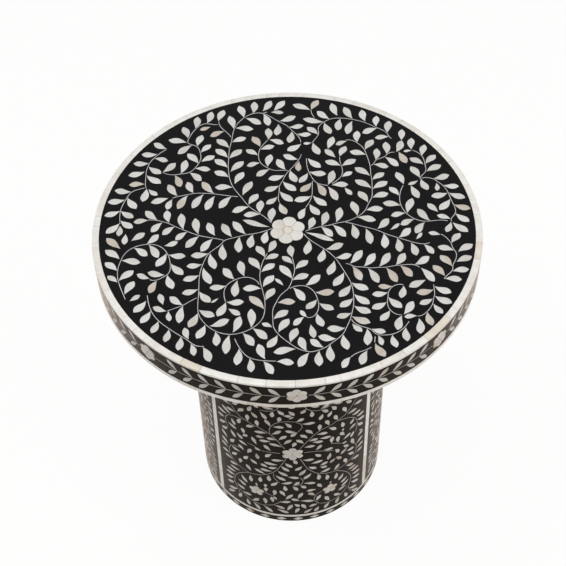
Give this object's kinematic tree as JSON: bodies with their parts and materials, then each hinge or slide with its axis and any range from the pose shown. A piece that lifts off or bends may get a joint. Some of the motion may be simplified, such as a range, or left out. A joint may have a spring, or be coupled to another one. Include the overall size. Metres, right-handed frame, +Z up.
{
  "type": "side table",
  "caption": "Round drum side table with a thick round top, skinned in black resin and inlaid all over with bone leaves, vine stems and flowers.",
  "frame": {"origin": "on the floor under the middle of the drum", "axes": "+Z up along the drum, front of the table towards -Y"},
  "size_m": [0.45, 0.45, 0.48],
  "materials": {
    "bone": "polished bone",
    "bone_stem": "polished bone",
    "black_resin": "polished black resin",
    "board_wood": "plain board",
    "screw_steel": "zinc",
    "pad_felt": "felt"
  },
  "bodies": {
    "root": {"top_rim_bone": "bone", "top_vine_leaves": "bone", "top_flower_petals": "bone", "top_flower_centre": "bone", "edge_laurel_leaves": "bone", "edge_flower_petals": "bone", "edge_lower_bone_strip": "bone", "drum_flower_petals": "bone", "drum_bone_uprights": "bone", "base_bone_line": "bone", "base_lozenges": "bone", "drum_leaves_front": "bone", "drum_leaves_right": "bone", "drum_leaves_back": "bone", "drum_leaves_left": "bone", "top_vine_stems": "bone_stem", "edge_laurel_stems": "bone_stem", "drum_stems_front": "bone_stem", "drum_stems_right": "bone_stem", "drum_stems_back": "bone_stem", "drum_stems_left": "bone_stem", "top_resin_field": "black_resin", "edge_resin_band": "black_resin", "base_resin_band": "black_resin", "drum_resin_front": "black_resin", "drum_resin_right": "black_resin", "drum_resin_back": "black_resin", "drum_resin_left": "black_resin", "top_board": "board_wood", "top_build_up_ring": "board_wood", "drum_shell": "board_wood", "drum_top_plate": "board_wood", "drum_base_plate": "board_wood", "inner_cleats": "board_wood", "locating_dowels": "board_wood", "cleat_screws": "screw_steel", "top_fixing_screws": "screw_steel", "floor_pads": "pad_felt"}
  },
  "joints": []
}
